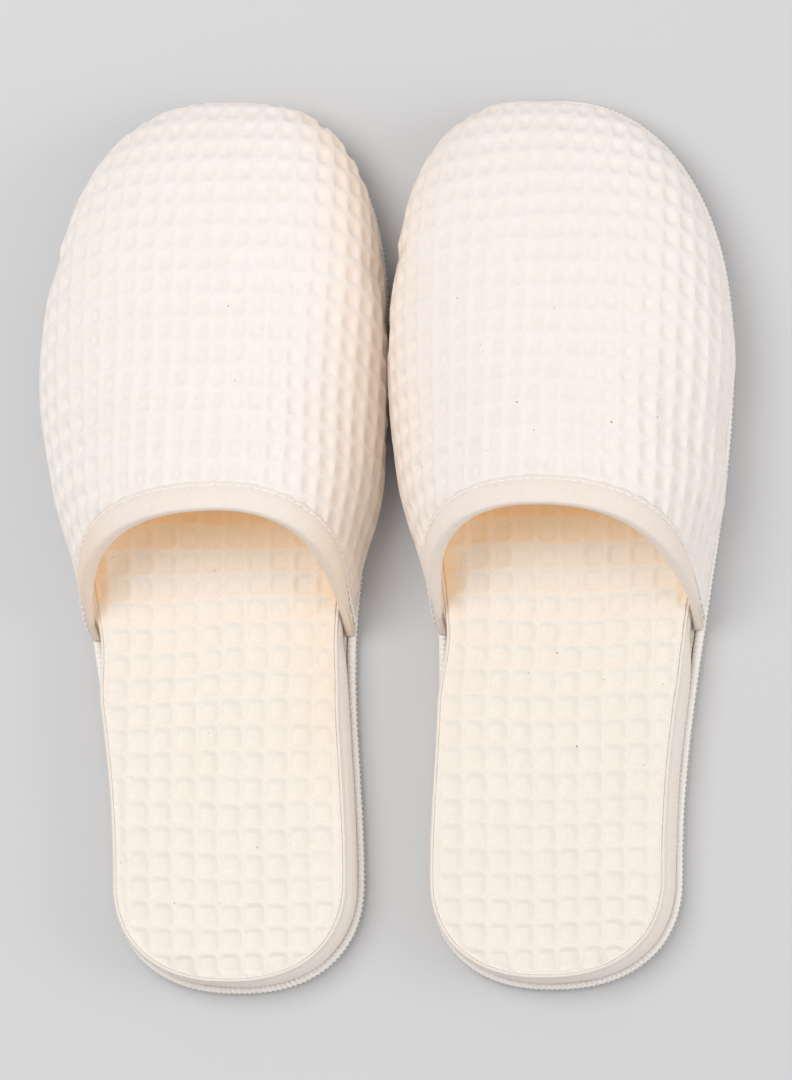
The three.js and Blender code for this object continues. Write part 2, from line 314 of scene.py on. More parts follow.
def edge_ring(stations, section, base=None):
    """Rings of points round the sole.

    section is a list of (inset, z), each a number or one value for each station. base(v) adds to the inset.
    """
    v = outline_at(stations, 0.0)[:, 1]
    shift = base(v) if base else 0.0
    rings = []
    for inset, z in section:
        uv = outline_at(stations, inset + shift)
        rings.append(np.column_stack([uv, np.broadcast_to(z, len(uv))]))
    return np.stack(rings, 1)


# ---- the upper's surface ------------------------------------------------------------------------


def throat_v(angle):
    return mix(THROAT["corner"], THROAT["top"], np.sin(angle) ** THROAT["power"])


def binding_width(angle):
    return mix(BINDING["tip"], 1.0, ease((np.sin(angle) - 0.08) / 0.5))


def foot_out(v):
    return (FOOT["toe"] - FOOT["corner"]) * (1 - ease((v - FOOT["from"]) / (FOOT["to"] - FOOT["from"])))


def bulge_at(side, sign, v):
    """How far the upper's side swells out beyond its foot line."""
    behind = ease((v - BULGE["start"]) / (BULGE["full"] - BULGE["start"]))
    share = (v - BULGE_TOE["end_from"]) / (LENGTH - FOOT["toe"] - BULGE_TOE["end_from"])
    ahead = round_end(share, BULGE_TOE["power"])
    forward = ease((v - BULGE_TOE["from"]) / (BULGE_TOE["to"] - BULGE_TOE["from"]))
    leaning = LEAN[side, sign] * ease((v - LEAN_FROM) / LEAN_OVER)
    run = BY_THROAT_RUN
    near = ease((v - run["from"]) / run["over"]) * (1 - ease((v - run["end_from"]) / run["end_over"]))
    by_throat = BY_THROAT[side, sign] * near
    return (mix(BULGE[sign], BULGE["toe"], forward) * behind + leaning + by_throat) * ahead


def read_table(table, row, col):
    """A table's values between its entries, at fractional rows and columns."""
    row = np.clip(row, 0, table.shape[0] - 1.001)
    col = np.clip(col, 0, table.shape[1] - 1.001)
    i, j = row.astype(int), col.astype(int)
    low = mix(table[i, j], table[i, j + 1], col - j)
    high = mix(table[i + 1, j], table[i + 1, j + 1], col - j)
    return mix(low, high, row - i)


def padding_at(side, angle, v):
    """How far the simulated padding pushes the upper out, in millimetres."""
    if side not in UPPER_PADDING:
        return 0.0
    table = UPPER_PADDING[side]
    start = throat_v(angle)
    share = np.clip((v - start) / (LENGTH - FOOT["toe"] - start), 0, 1)
    row = (1 - np.sqrt(1 - share)) * (table.shape[0] - 1)
    return read_table(table, row, angle / np.pi * (table.shape[1] - 1))


def upper_at(side, angle, v, depth):
    """Points of the upper: angle runs from 0 at the outer foot to pi at the inner foot."""
    angle, v, depth = np.broadcast_arrays(np.asarray(angle, float), v, depth)
    depth = depth - padding_at(side, angle, v)
    end = LENGTH - FOOT["toe"]
    crown = RIDGE_Z - RIDGE["slope"] * (v - THROAT["top"]) - UPPER_Z - depth
    drop = round_end((v - RIDGE["drop"]) / (end - RIDGE["drop"] - depth), RIDGE["power"])
    out = np.zeros(angle.shape + (3,))
    for sign in (OUTER, INNER):
        here = angle < np.pi / 2 if sign == OUTER else angle >= np.pi / 2
        a, w, d = angle[here], v[here], depth[here]
        power = 2 / mix(ARCH[sign], ARCH["toe"], ease((w - ARCH["from"]) / (ARCH["to"] - ARCH["from"])))
        rise = (crown * drop)[here] * np.maximum(0, np.sin(a)) ** power
        bulge = bulge_at(side, sign, w) * ease(rise / BULGE["rise"])
        half = fore_half(sign, w, FOOT["toe"] + d) + foot_out(w) + bulge
        across = half * np.abs(np.cos(a)) ** power
        push = TOE_PUSH[side][0] + TOE_PUSH[side][1] * np.cos(a)
        along = w + push * ease(rise / BULGE["rise"]) * ease((w - TOE_PUSH_FROM) / TOE_PUSH_OVER)
        out[here] = np.stack([sign * across, along, UPPER_Z + rise], -1)
    return out


def upper_grid(side, rows, cols, depth):
    """Angles, v and points of a grid over the upper, from the throat's edge to the toe."""
    angle = np.linspace(0, np.pi, cols)[None, :]
    share = (1 - (1 - np.linspace(0, 1, rows)) ** 2)[:, None]
    v = mix(throat_v(angle), LENGTH - FOOT["toe"] - depth, share)
    angle = np.broadcast_to(angle, v.shape)
    return angle, v, upper_at(side, angle, v, depth)


def cloth_place(side, angle, v):
    """Each point's place on the upper's flat cloth: distance from the ridge, and distance along the ridge.

    The cloth's rows lie square to the ridge, which falls towards the toe, so they run back as they go down.
    """
    rows, cols = 240, 361
    vs = np.linspace(THROAT["corner"], LENGTH - FOOT["toe"], rows)
    angles = np.linspace(0, np.pi, cols)
    table = upper_at(side, angles[None, :], vs[:, None], 0.0)
    steps = np.linalg.norm(np.diff(table, axis=1), axis=2)
    across = np.concatenate([np.zeros((len(vs), 1)), np.cumsum(steps, 1)], 1)
    middle = cols // 2
    across = across - across[:, middle, None]
    ridge = table[:, middle]
    along = np.concatenate([[0], np.cumsum(np.linalg.norm(np.diff(ridge, axis=0), axis=1))])
    drop = ridge[:, None, 2] - table[:, :, 2]
    row_place = along[:, None] + ROW_LEAN * drop
    row, col = (v - vs[0]) / (vs[1] - vs[0]), angle / np.pi * (cols - 1)
    return read_table(across, row, col), read_table(row_place, row, col)


def normals_of(grid):
    """Unit normals of a grid of points."""
    du = np.gradient(grid, axis=1)
    dv = np.gradient(grid, axis=0)
    n = np.cross(du, dv)
    return n / np.maximum(np.linalg.norm(n, axis=2, keepdims=True), 1e-9)


def orientation(grid):
    """1 where normals_of points up on this grid, else -1."""
    middle = normals_of(grid)[grid.shape[0] // 2, grid.shape[1] // 2]
    return 1.0 if middle[2] > 0 else -1.0


# ---- padding, from a cloth simulation -----------------------------------------------------------

SIM_SCALE = 10.0  # the simulation runs ten times life size, where the solver is steady
SIM_FRAMES = 20
UPPER_SIM_GRID, BED_SIM_GRID = (33, 49), (17, 23)
UPPER_PRESSURE, UPPER_SLACK, UPPER_CAP = 1.0, 0.01, 1.6
UPPER_START = 0.8  # millimetres: the padding swells, so it starts from a slightly smaller shape
UNDER_BINDING = 3  # rows of the upper's simulated grid that the binding holds
BED_PRESSURE, BED_SLACK, BED_CAP = 0.3, 0.001, 1.6
UPPER_PADDING = {}  # for each slipper, how far out the upper's points go
BED_PADDING = {}  # for each slipper, how far up the footbed's points go


def settle(points, faces, held, pressure, slack, cap):
    """Blows up a closed cloth mesh, in millimetres, with its held points fixed.

    slack is the share by which the cloth is larger than the shape it starts from. Returns each point's
    movement, which never passes cap.
    """
    mesh = bpy.data.meshes.new("settling")
    mesh.from_pydata((points * MM * SIM_SCALE).tolist(), [], [f.tolist() for part in faces for f in part])
    tidy = bmesh.new()
    tidy.from_mesh(mesh)
    bmesh.ops.recalc_face_normals(tidy, faces=tidy.faces)
    tidy.to_mesh(mesh)
    tidy.free()
    piece = bpy.data.objects.new("settling", mesh)
    bpy.context.scene.collection.objects.link(piece)
    group = piece.vertex_groups.new(name="held")
    group.add(np.flatnonzero(held).tolist(), 1.0, "REPLACE")
    cloth = piece.modifiers.new("cloth", "CLOTH")
    cloth.settings.vertex_group_mass = "held"
    cloth.settings.quality = 6
    cloth.settings.mass = 0.3
    cloth.settings.bending_stiffness = 3
    cloth.settings.shrink_min = -slack
    cloth.settings.use_pressure = True
    cloth.settings.uniform_pressure_force = pressure
    cloth.settings.effector_weights.gravity = 0
    cloth.point_cache.frame_end = SIM_FRAMES
    for number in range(1, SIM_FRAMES + 1):
        bpy.context.scene.frame_set(number)
    done = piece.evaluated_get(bpy.context.evaluated_depsgraph_get())
    moved = np.empty(len(points) * 3, np.float32)
    done.data.vertices.foreach_get("co", moved)
    bpy.context.scene.frame_set(1)
    bpy.data.objects.remove(piece)
    bpy.data.meshes.remove(mesh)
    shift = moved.reshape(-1, 3) / (MM * SIM_SCALE) - points
    size = np.linalg.norm(shift, axis=1, keepdims=True)
    return shift * np.tanh(size / cap) * cap / np.maximum(size, 1e-9)


def pad_upper(side):
    """Simulates the padded upper: its outer face swells between the binding, the foot line and the toe.

    The last row stays out of the mesh, because the grid closes to a point there.
    """
    rows, cols = UPPER_SIM_GRID
    angle, v, top = upper_grid(side, rows, cols, 0.0)
    low = upper_grid(side, rows, cols, LINING[1])[2]
    up = normals_of(top) * orientation(top)
    points, faces = thick_sheet(top[:-1], low[:-1], 1)
    free = np.zeros((rows - 1, cols), bool)
    free[UNDER_BINDING:-1, 1:-1] = True
    held = np.ones(len(points), bool)
    held[: free.size] = ~free.ravel()
    shift = settle(points, faces, held, UPPER_PRESSURE, UPPER_SLACK, UPPER_CAP)[: free.size]
    out = np.zeros((rows, cols))
    out[:-1] = (shift.reshape(rows - 1, cols, 3) * up[:-1]).sum(-1)
    UPPER_PADDING[side] = out - UPPER_START * np.sin(angle) ** 0.3 * ease((v - throat_v(angle)) / 12)


def pad_footbed(side, seed):
    """Simulates the padded footbed: its cover crowns up between its seams.

    The end rows stay out of the mesh, because they close to a point.
    """
    u, v, margin = plan_grid(*BED_SIM_GRID, bed_inset)
    z = COVER_TOP + 0.25 * waves(u, v, seed, 30) * ease(margin / 6)
    top = np.stack([u, v, z], -1)
    low = np.stack([u, v, np.full(u.shape, FOAM_LOW)], -1)
    points, faces = thick_sheet(top[1:-1], low[1:-1], 1)
    free = margin[1:-1] > 0.5
    held = np.ones(len(points), bool)
    held[: free.size] = ~free.ravel()
    shift = settle(points, faces, held, BED_PRESSURE, BED_SLACK, BED_CAP)[: free.size]
    rise = np.zeros(u.shape)
    rise[1:-1] = shift[:, 2].reshape(free.shape)
    BED_PADDING[side] = rise


def bed_rise(side, v, cols):
    """How far the simulated padding lifts the footbed at the points of a plan_grid."""
    if side not in BED_PADDING:
        return 0.0
    table = BED_PADDING[side]
    at = plan_grid(*BED_SIM_GRID, bed_inset)[1][:, 0]
    row = np.interp(v, at, np.arange(len(at)))
    col = np.broadcast_to(np.linspace(0, table.shape[1] - 1, cols)[None, :], v.shape)
    return read_table(table, row, col)


# ---- waffle cloth -------------------------------------------------------------------------------

OFF_CENTRE, UNEVEN_DEPTH = 0.07, 0.22  # how much one cell differs from the next


def cell_noise(i, j, seed):
    """A steady random number between -1 and 1 for each cell."""
    return 2 * np.mod(np.sin(i * 12.9898 + j * 78.233 + seed * 37.719) * 43758.5453, 1) - 1


def waffle(a, b, pitch, seed, square, floor, ridge=0.93, wobble=0.35):
    """Height from 0 in the pits to 1 on the ridges of waffle cloth: a raised grid round sunken squares.

    A high square makes the pits squarer. A pit is flat out to the share floor of its half width, and its
    wall reaches the ridge's top at the share ridge. wobble is how far the rows wander, in millimetres.
    """
    a = a + waves(a, b, seed, 60) * wobble * 2 + waves(a, b, seed + 1, 14) * wobble * 0.5
    b = b + waves(a, b, seed + 2, 70) * wobble * 3 + waves(a, b, seed + 3, 15) * wobble * 0.5
    i, j = np.round(a / pitch[0]), np.round(b / pitch[1])
    x = 2 * (a / pitch[0] - i) + OFF_CENTRE * cell_noise(i, j, seed + 5)
    y = 2 * (b / pitch[1] - j) + OFF_CENTRE * cell_noise(i, j, seed + 9)
    out = (np.abs(x) ** square + np.abs(y) ** square) ** (1 / square)
    wall = ease((out - floor) / (ridge - floor))
    deep = 1 + UNEVEN_DEPTH * cell_noise(i, j, seed)
    return 1 - (1 - wall) * deep


# ---- materials ----------------------------------------------------------------------------------


# WARM_LIGHT colours the painted glow: cloth that shines as if light came through it
WARM_LIGHT = (1.0, 0.82, 0.62)  # light that has come through thin cotton
SHADE_TINT = (1.0, 0.73, 0.41)  # what many bounces between cream cloths do to the light in a hollow
SPECK = (0.45, 0.35, 0.26)  # a bit of cotton seed
SPECK_SHARE = 0.3  # the share of the noise's range in which a speck shows


def fabric(name, colour, thread, weave_depth=0.3, specks=False, rough=0.95, coords="object", glow=0.0):
    """Cotton: uneven off-white, crossing threads thread millimetres apart, and maybe a few dark seed specks.

    With coords "weave" the threads follow the weave attribute, and its third number, from 0 to 1, says how
    much painted shade (SHADE_TINT, warm shade from light bouncing between the cloths) the cloth gets.
    looks, from 0 to 1.
    """
    mat = bpy.data.materials.new(name)
    mat.use_nodes = True
    nodes, links = mat.node_tree.nodes, mat.node_tree.links
    nodes.clear()
    out = nodes.new("ShaderNodeOutputMaterial")
    surface = nodes.new("ShaderNodeBsdfPrincipled")
    links.new(surface.outputs["BSDF"], out.inputs["Surface"])
    surface.inputs["Roughness"].default_value = rough
    surface.inputs["Specular IOR Level"].default_value = 0.15
    # glow paints light: the cloth shines though it is no lamp
    surface.inputs["Emission Color"].default_value = (*WARM_LIGHT, 1)
    surface.inputs["Emission Strength"].default_value = glow
    surface.inputs["Sheen Weight"].default_value = 0.25
    surface.inputs["Sheen Roughness"].default_value = 0.6
    place_node = nodes.new("ShaderNodeTexCoord")

    def noise(scale, detail=2.0):
        n = nodes.new("ShaderNodeTexNoise")
        n.inputs["Scale"].default_value = scale
        n.inputs["Detail"].default_value = detail
        links.new(place_node.outputs["Object"], n.inputs["Vector"])
        return n.outputs["Fac"]

    def math_node(operation, a, b=None):
        n = nodes.new("ShaderNodeMath")
        n.operation = operation
        for socket, value in zip(n.inputs, (a, b)):
            if isinstance(value, (int, float)):
                socket.default_value = value
            elif value is not None:
                links.new(value, socket)
        return n.outputs[0]

    def blend_colour(fac, a, b):
        n = nodes.new("ShaderNodeMix")
        n.data_type = "RGBA"
        links.new(fac, n.inputs["Factor"])
        for socket, value in ((n.inputs["A"], a), (n.inputs["B"], b)):
            if isinstance(value, tuple):
                socket.default_value = (*value, 1)
            else:
                links.new(value, socket)
        return n.outputs["Result"]

    def ramp(fac, low, high):
        n = nodes.new("ShaderNodeMapRange")
        n.inputs["From Min"].default_value = low
        n.inputs["From Max"].default_value = high
        links.new(fac, n.inputs["Value"])
        return n.outputs["Result"]

    def tinted(tint):
        return tuple(c * t for c, t in zip(colour, tint))

    deeper, pinker, darker = tinted((0.99, 0.978, 0.955)), tinted((1.0, 0.985, 0.98)), tinted((0.94,) * 3)
    base = blend_colour(ramp(noise(55, 3), 0.35, 0.65), colour, deeper)
    base = blend_colour(ramp(noise(140, 2), 0.4, 0.7), base, pinker)
    base = blend_colour(ramp(noise(1300, 3), 0.45, 0.85), base, darker)
    base = blend_colour(ramp(noise(520, 2), 0.5, 0.9), base, darker)
    if specks:
        dots = nodes.new("ShaderNodeTexVoronoi")
        dots.inputs["Scale"].default_value = 210
        dots.inputs["Randomness"].default_value = 1.0
        links.new(place_node.outputs["Object"], dots.inputs["Vector"])
        near = math_node("LESS_THAN", dots.outputs["Distance"], 0.085)
        chosen = math_node("GREATER_THAN", noise(900, 0), 1 - SPECK_SHARE)
        base = blend_colour(math_node("MULTIPLY", near, chosen), base, SPECK)

    if coords == "weave":
        at = nodes.new("ShaderNodeAttribute")
        at.attribute_name = "weave"
        split = nodes.new("ShaderNodeSeparateXYZ")
        links.new(at.outputs["Vector"], split.inputs["Vector"])
        # painted shade: the cloth's colour goes towards SHADE_TINT as far as the weave's third number says
        base = blend_colour(split.outputs["Z"], base, tinted(SHADE_TINT))
        size = 1.0
    else:
        split = nodes.new("ShaderNodeSeparateXYZ")
        links.new(place_node.outputs["Object"], split.inputs["Vector"])
        size = MM
    links.new(base, surface.inputs["Base Color"])
    turn = 2 * math.pi / (thread * size)
    warp = math_node("SINE", math_node("MULTIPLY", split.outputs["X"], turn))
    weft = math_node("SINE", math_node("MULTIPLY", split.outputs["Y"], turn))
    cross = math_node("MAXIMUM", warp, weft)
    fuzz = math_node("MULTIPLY", noise(2600, 2), 1.6)
    height = math_node("ADD", cross, fuzz)
    bump = nodes.new("ShaderNodeBump")
    bump.inputs["Strength"].default_value = weave_depth
    bump.inputs["Distance"].default_value = 0.2 * MM
    links.new(height, bump.inputs["Height"])
    links.new(bump.outputs["Normal"], surface.inputs["Normal"])
    return mat


MATERIALS = {
    "upper_waffle": fabric("upper_waffle", (0.885, 0.82, 0.778), 0.75, specks=True, coords="weave"),
    "insole_waffle": fabric("insole_waffle", (0.872, 0.812, 0.738), 0.8, specks=True, coords="weave"),
    "binding_tape": fabric("binding_tape", (0.852, 0.76, 0.69), 0.55, coords="weave"),
    "side_tape": fabric("side_tape", (0.85, 0.77, 0.7), 0.55),
    "edge_tape": fabric("edge_tape", (0.95, 0.905, 0.86), 0.6),
    # the lining's tan is cream cloth deepened with painted warm shade, and its glow is painted light in the
    # throat
    "lining": fabric("lining", (0.88, 0.76, 0.61), 0.6, 0.25, glow=0.35),
    "interlining": fabric("interlining", (0.9, 0.88, 0.84), 1.4),
    "thread": fabric("thread", (0.95, 0.91, 0.865), 0.3),
    "foam": fabric("foam", (0.9, 0.87, 0.8), 1.2, 0.35),
    "board": fabric("board", (0.7, 0.65, 0.56), 1.8),
    "outsole": fabric("outsole", (0.8, 0.75, 0.66), 1.0, rough=0.8),
}


# ---- the pieces of one slipper ------------------------------------------------------------------

# Painted shade that one slipper throws on the other: how much SHADE_TINT is painted on the footbed, the
# upper's side and the binding.
BETWEEN_PAINTED_SHADE = {"left": 0.33, "right": 0.08}
# How far the footbed's wall swells out behind the upper.
WALL_PUFF = {("left", OUTER): 1.0, ("left", INNER): 1.5, ("right", OUTER): 1.5, ("right", INNER): 1.0}
FLANK_PAINTED_SHADE = {"left": 0.32, "right": 0.14}
BINDING_PAINTED_SHADE = {"left": 0.3, "right": 0.04}
UPPER_ROWS, UPPER_COLS = 201, 241
UPPER_PITCH = (6.2, 8.0)
UPPER_RELIEF = 1.15
# The relief's strength on the crown and on the sides, and by the throat and at the toe.
CROWN, FLANK, BY_THE_THROAT, AT_THE_TOE = 1.3, 1.55, 1.1, 0.7
ROW_LEAN = 0.4  # how far the rows run back for each millimetre that they go down
INSOLE_PITCH = (7.6, 8.2)
INSOLE_RELIEF = 1.0
LOW_STEP = 4  # a hidden underside has every fourth row and column of its top


def cover_nodes(piece, side, name):
    """A piece of the sole: it stands for both halves of its CAD layer, which it hides."""
    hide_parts(f"{side}_{name}_fore", f"{side}_{name}_heel")
    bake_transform(piece)
    return piece


def upper_node(piece, side, name):
    """A piece of the upper, which rides on the forefoot."""
    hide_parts(f"{side}_{name}")
    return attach(piece, f"{side}_forefoot")


def upper_shell(side, seed):
    """The vamp's waffle cloth: its relief fades out along its edges and under the binding."""
    angle, v, top = upper_grid(side, UPPER_ROWS, UPPER_COLS, SHELL[0])
    low = upper_grid(side, UPPER_ROWS, UPPER_COLS, SHELL[1])[2]
    a, b = cloth_place(side, angle, v)
    radius, edge_fade = 45, 4
    edge = ease(np.minimum(angle, np.pi - angle) * radius / edge_fade)
    tip = ease((LENGTH - FOOT["toe"] - v) / edge_fade)
    under_tape = 1 - ease((throat_v(angle) + BINDING["outer"] + 1 - v) / 2)
    fade = edge * tip * mix(0.3, 1.0, under_tape)
    relief = UPPER_RELIEF * waffle(a, b, UPPER_PITCH, seed, 3.2, 0.15) * fade
    flank = ease((1 - np.sin(angle)) / 0.75)
    relief = relief * mix(CROWN, FLANK, flank) * mix(BY_THE_THROAT, AT_THE_TOE, ease((v - 150) / 110))
    top = top + normals_of(top) * (relief - 0.5 * UPPER_RELIEF * fade)[..., None] * orientation(top)
    points, faces = thick_sheet(top, low, LOW_STEP)
    # painted shade on the upper's inner side, where the other slipper stands close
    flat = weave_data(a, b, FLANK_PAINTED_SHADE[side] * ease((angle - np.pi * 0.64) / 0.8))
    piece = make_mesh("vamp", points, faces, side, MATERIALS["upper_waffle"], flat)
    return upper_node(piece, side, "upper_shell")


def upper_layer(side, name, node, depths, slot):
    """A plain layer inside the upper, between two depths."""
    top, low = (upper_grid(side, 81, 97, depth)[2] for depth in depths)
    points, faces = thick_sheet(top, low, 1)
    piece = make_mesh(name, points, faces, side, MATERIALS[slot])
    return upper_node(piece, side, node)


# The binding's outside, from its front edge to its fold: how far behind that edge, and how puffed up.
STITCH_LINE = 1.3  # the stitches pull the tape down here
TAPE_PROFILE = ((0.4, 0.05), (0.9, 0), (STITCH_LINE, -0.22), (1.7, 0.08))
TAPE_PROFILE += ((2.6, 0.42), (4, 0.66), (5.6, 0.62), (7.2, 0.4))


def throat_binding(side, seed):
    """The tape folded round the throat's edge, over the shell outside and the lining inside."""
    count = 261
    angle = np.linspace(0, np.pi, count)[:, None]
    width = binding_width(angle)
    out, inn = SHELL[0] - BINDING["clear"], LINING[1] + BINDING["clear"]
    skin, lip = BINDING["skin"], BINDING["lip"]
    middle, reach = (out + inn) / 2, (inn - out) / 2
    section = [(BINDING["outer"], out), (BINDING["outer"] + 0.15, out - skin * 0.5)]
    section += [(BINDING["outer"] - d, out - skin - puff) for d, puff in TAPE_PROFILE]
    for t in np.linspace(0, np.pi, 11):
        section.append((0.6 - lip - 1.0 * np.sin(t), middle - (reach + skin + 0.1) * np.cos(t)))
    section += [(BINDING["inner"], inn + skin), (BINDING["inner"], inn)]
    for t in np.linspace(np.pi, 0, 7):
        section.append((0.7 - lip - 0.2 * np.sin(t), middle - reach * np.cos(t)))
    section = np.array(section)
    forward, depth = section[:, 0][None, :], section[:, 1][None, :]
    forward = np.where(forward > 0, forward * width, forward)
    thin = mix(0.45, 1.0, ease((np.sin(angle) - 0.05) / 0.4))
    depth = middle + (depth - middle) * mix(1.0, thin, np.abs(depth - middle) > reach + 0.1)
    ruck = 0.12 * waves(angle * 60, forward, seed, 9) * (depth < middle)
    v = throat_v(angle) + forward
    grid = upper_at(side, np.broadcast_to(angle, v.shape), v, depth + ruck)
    run = angle * 60
    # painted shade on the binding, growing towards its ends
    painted_shade = BINDING_PAINTED_SHADE[side] * ease((0.97 - np.sin(angle)) / 0.5)
    cloth = np.stack(np.broadcast_arrays(run, np.arange(len(section)) * 1.3, painted_shade), -1)
    piece = ring_mesh("binding", grid, side, MATERIALS["binding_tape"], closed=False, weave=cloth)
    return upper_node(piece, side, "throat_binding")


def thread_tube(path, radius, sides=6):
    """Rings of a thread along a path of points, closed or not."""
    along = np.gradient(path, axis=0)
    along /= np.maximum(np.linalg.norm(along, axis=1, keepdims=True), 1e-9)
    up = np.array([0.0, 0.0, 1.0])
    side = np.cross(along, up)
    side /= np.maximum(np.linalg.norm(side, axis=1, keepdims=True), 1e-9)
    lift = np.cross(side, along)
    t = np.linspace(0, 2 * np.pi, sides, endpoint=False)
    ring = side[:, None] * np.cos(t)[None, :, None] + lift[:, None] * np.sin(t)[None, :, None]
    return path[:, None] + ring * radius


def throat_stitch(side):
    """A run of stitches along the binding's front edge, each dipping into the tape."""
    stitch, count = 3.0, 700
    angle = np.linspace(0.02, np.pi - 0.02, count)
    forward = (BINDING["outer"] - STITCH_LINE) * binding_width(angle)
    skin_depth = SHELL[0] - BINDING["clear"] - BINDING["skin"]
    flat = upper_at(side, angle, throat_v(angle) + forward, skin_depth)
    run = np.concatenate([[0], np.cumsum(np.linalg.norm(np.diff(flat, axis=0), axis=1))])
    dip = np.sin(run / stitch * 2 * np.pi)
    depth = skin_depth - 0.06 + 0.55 * ease((-dip - 0.45) / 0.4)
    path = upper_at(side, angle, throat_v(angle) + forward, depth)
    piece = ring_mesh("binding_stitches", thread_tube(path, 0.3), side, MATERIALS["thread"], closed=False)
    return upper_node(piece, side, "throat_stitch")


def plan_grid(rows_each, cols, inset):
    """A grid over the sole's plan, inset(v) inside the outline, closing to a point at each end.

    Gives u, v and the distance from the edge.
    """
    turn = np.linspace(0, np.pi / 2, rows_each)
    end_inset = inset(np.array([0.0, LENGTH]))
    heel_depth, toe_depth = HEEL[OUTER]["depth"], TOE[INNER]["depth"]
    heel = heel_depth - (heel_depth - end_inset[0]) * np.sin(turn[::-1]) ** (2 / HEEL[OUTER]["power"])
    toe = LENGTH - toe_depth + (toe_depth - end_inset[1]) * np.sin(turn) ** (2 / TOE[INNER]["power"])
    straight = np.linspace(heel_depth, LENGTH - toe_depth, 2 * rows_each + 3)[1:-1]
    v = np.concatenate([heel, straight, toe])
    outer = half_at(OUTER, v, inset(v))
    inner = half_at(INNER, v, inset(v))
    outer[[0, -1]] = inner[[0, -1]] = 0
    share = np.linspace(-1, 1, cols)[None, :]
    u = np.where(share > 0, share * outer[:, None], share * inner[:, None])
    margin = (1 - np.abs(share)) * np.where(share > 0, outer[:, None], inner[:, None])
    ends = np.minimum(v - v[0], v[-1] - v)[:, None]
    return u, np.broadcast_to(v[:, None], u.shape), np.minimum(margin, ends)


def slab(name, node, side, slot, inset, low, top, round_off=0.4):
    """A plain flat layer with a softened top edge."""
    u, v, margin = plan_grid(33, 33, inset)
    z = top - round_off * (1 - ease(margin / 3))
    upper_side = np.stack([u, v, z], -1)
    under_side = np.stack([u, v, np.full(u.shape, low)], -1)
    points, faces = thick_sheet(upper_side, under_side, 1)
    piece = make_mesh(name, points, faces, side, MATERIALS[slot])
    return cover_nodes(piece, side, node)


def bed_inset(v):
    """How far in the footbed's cover and cushion lie."""
    return band_inset(v) + BAND["thick"] + 0.03


def insole_cover(side, seed):
    """The footbed's waffle cloth, crowned by its padding, with painted shade under the upper, by its wall
    there and towards the other slipper.
    """
    cols = 141
    u, v, margin = plan_grid(117, cols, bed_inset)
    fade = ease((margin - 0.6) / 2.2)
    relief = INSOLE_RELIEF * waffle(u, v, INSOLE_PITCH, seed, 4.0, 0.55, 0.94) * fade
    crown = bed_rise(side, v, cols)
    tramp = 0.3 * waves(u, v, seed + 7, 70)
    z = COVER_TOP + crown + relief - 0.7 * INSOLE_RELIEF * fade + tramp * fade
    top = np.stack([u, v, z], -1)
    low = np.stack([u, v, np.full(u.shape, COVER_LOW)], -1)
    points, faces = thick_sheet(top, low, LOW_STEP)
    # painted shade: under the vamp, by the wall beside the upper, and on the side towards the other slipper
    under_vamp = ease((v - 134) / 30)
    by_the_wall = ease((9 - margin) / 14) * ease((v - 117) / 16)
    between = BETWEEN_PAINTED_SHADE[side] * ease((30 - u - half_at(INNER, v, 0.0)) / 40) * ease((v - 40) / 60)
    flat = weave_data(u, v, np.maximum(np.maximum(under_vamp, by_the_wall), between))
    piece = make_mesh("footbed", points, faces, side, MATERIALS["insole_waffle"], flat)
    return cover_nodes(piece, side, "insole_cover")


def tuck(v):
    """How much lower the band's ridge and its seam lie where the upper hides them."""
    return 0.6 * ease((v - 108) / 10)


# The wall's outside: share of its height, and share of its swelling.
WALL_PROFILE = ((0.03, 0.25), (0.12, 0.65), (0.25, 0.9), (0.4, 1), (0.55, 0.97), (0.7, 0.8), (0.83, 0.5))


def side_band(side, seed):
    """The tape round the footbed's wall, with a thin ridge at its top."""
    stations, _ = outline(360)
    uv = outline_at(stations, 0.0)
    drift = 0.18 * waves(uv[:, 0], uv[:, 1], seed, 26)
    lift = 0.12 * waves(uv[:, 0], uv[:, 1], seed + 3, 18)
    thick = BAND["thick"]
    puff = mix(WALL_PUFF[side, INNER], WALL_PUFF[side, OUTER], ease(0.5 + uv[:, 0] / 50))
    beside = mix(puff, 0.4, ease((uv[:, 1] - 106) / 9))  # nearly flat where the upper stands beside it
    tucked = tuck(uv[:, 1])
    section = [(0.3, FOAM_LOW + 0.05)]
    for high, out in WALL_PROFILE:
        section.append((drift - out * beside, mix(FOAM_LOW, COVER_TOP, high)))
    section.append((0.1, COVER_TOP - 0.5 + lift))
    for t in np.linspace(0.3, np.pi - 0.3, 7):
        section.append((thick * 0.5 - 0.5 * np.cos(t), COVER_TOP - 0.2 - tucked + lift + 0.55 * np.sin(t)))
    section += [(thick, COVER_TOP - 0.6), (thick, FOAM_LOW)]
    grid = edge_ring(stations, section, band_inset)
    piece = ring_mesh("edge_band", grid, side, MATERIALS["side_tape"], closed=True)
    return cover_nodes(piece, side, "side_band")


def insole_stitch(side):
    """The seam that holds the cover to the band, in the ditch beside the ridge."""
    stitch, count = 2.6, 1400
    stations, around = outline(count)
    run = np.arange(count) / count * around
    phase = np.sin(run / (around / round(around / stitch)) * 2 * np.pi)
    inset = BAND["thick"] + 0.4
    v = outline_at(stations, 0.0)[:, 1]
    uv = outline_at(stations, inset + band_inset(v))
    z = COVER_TOP + 0.1 - tuck(v) - 0.5 * ease((-phase - 0.4) / 0.4)
    path = np.column_stack([uv, z])
    closed_path = thread_tube(np.concatenate([path[-2:], path, path[:2]]), 0.22)[2:-2]
    piece = ring_mesh("footbed_stitches", closed_path, side, MATERIALS["thread"], closed=True)
    return cover_nodes(piece, side, "insole_stitch")


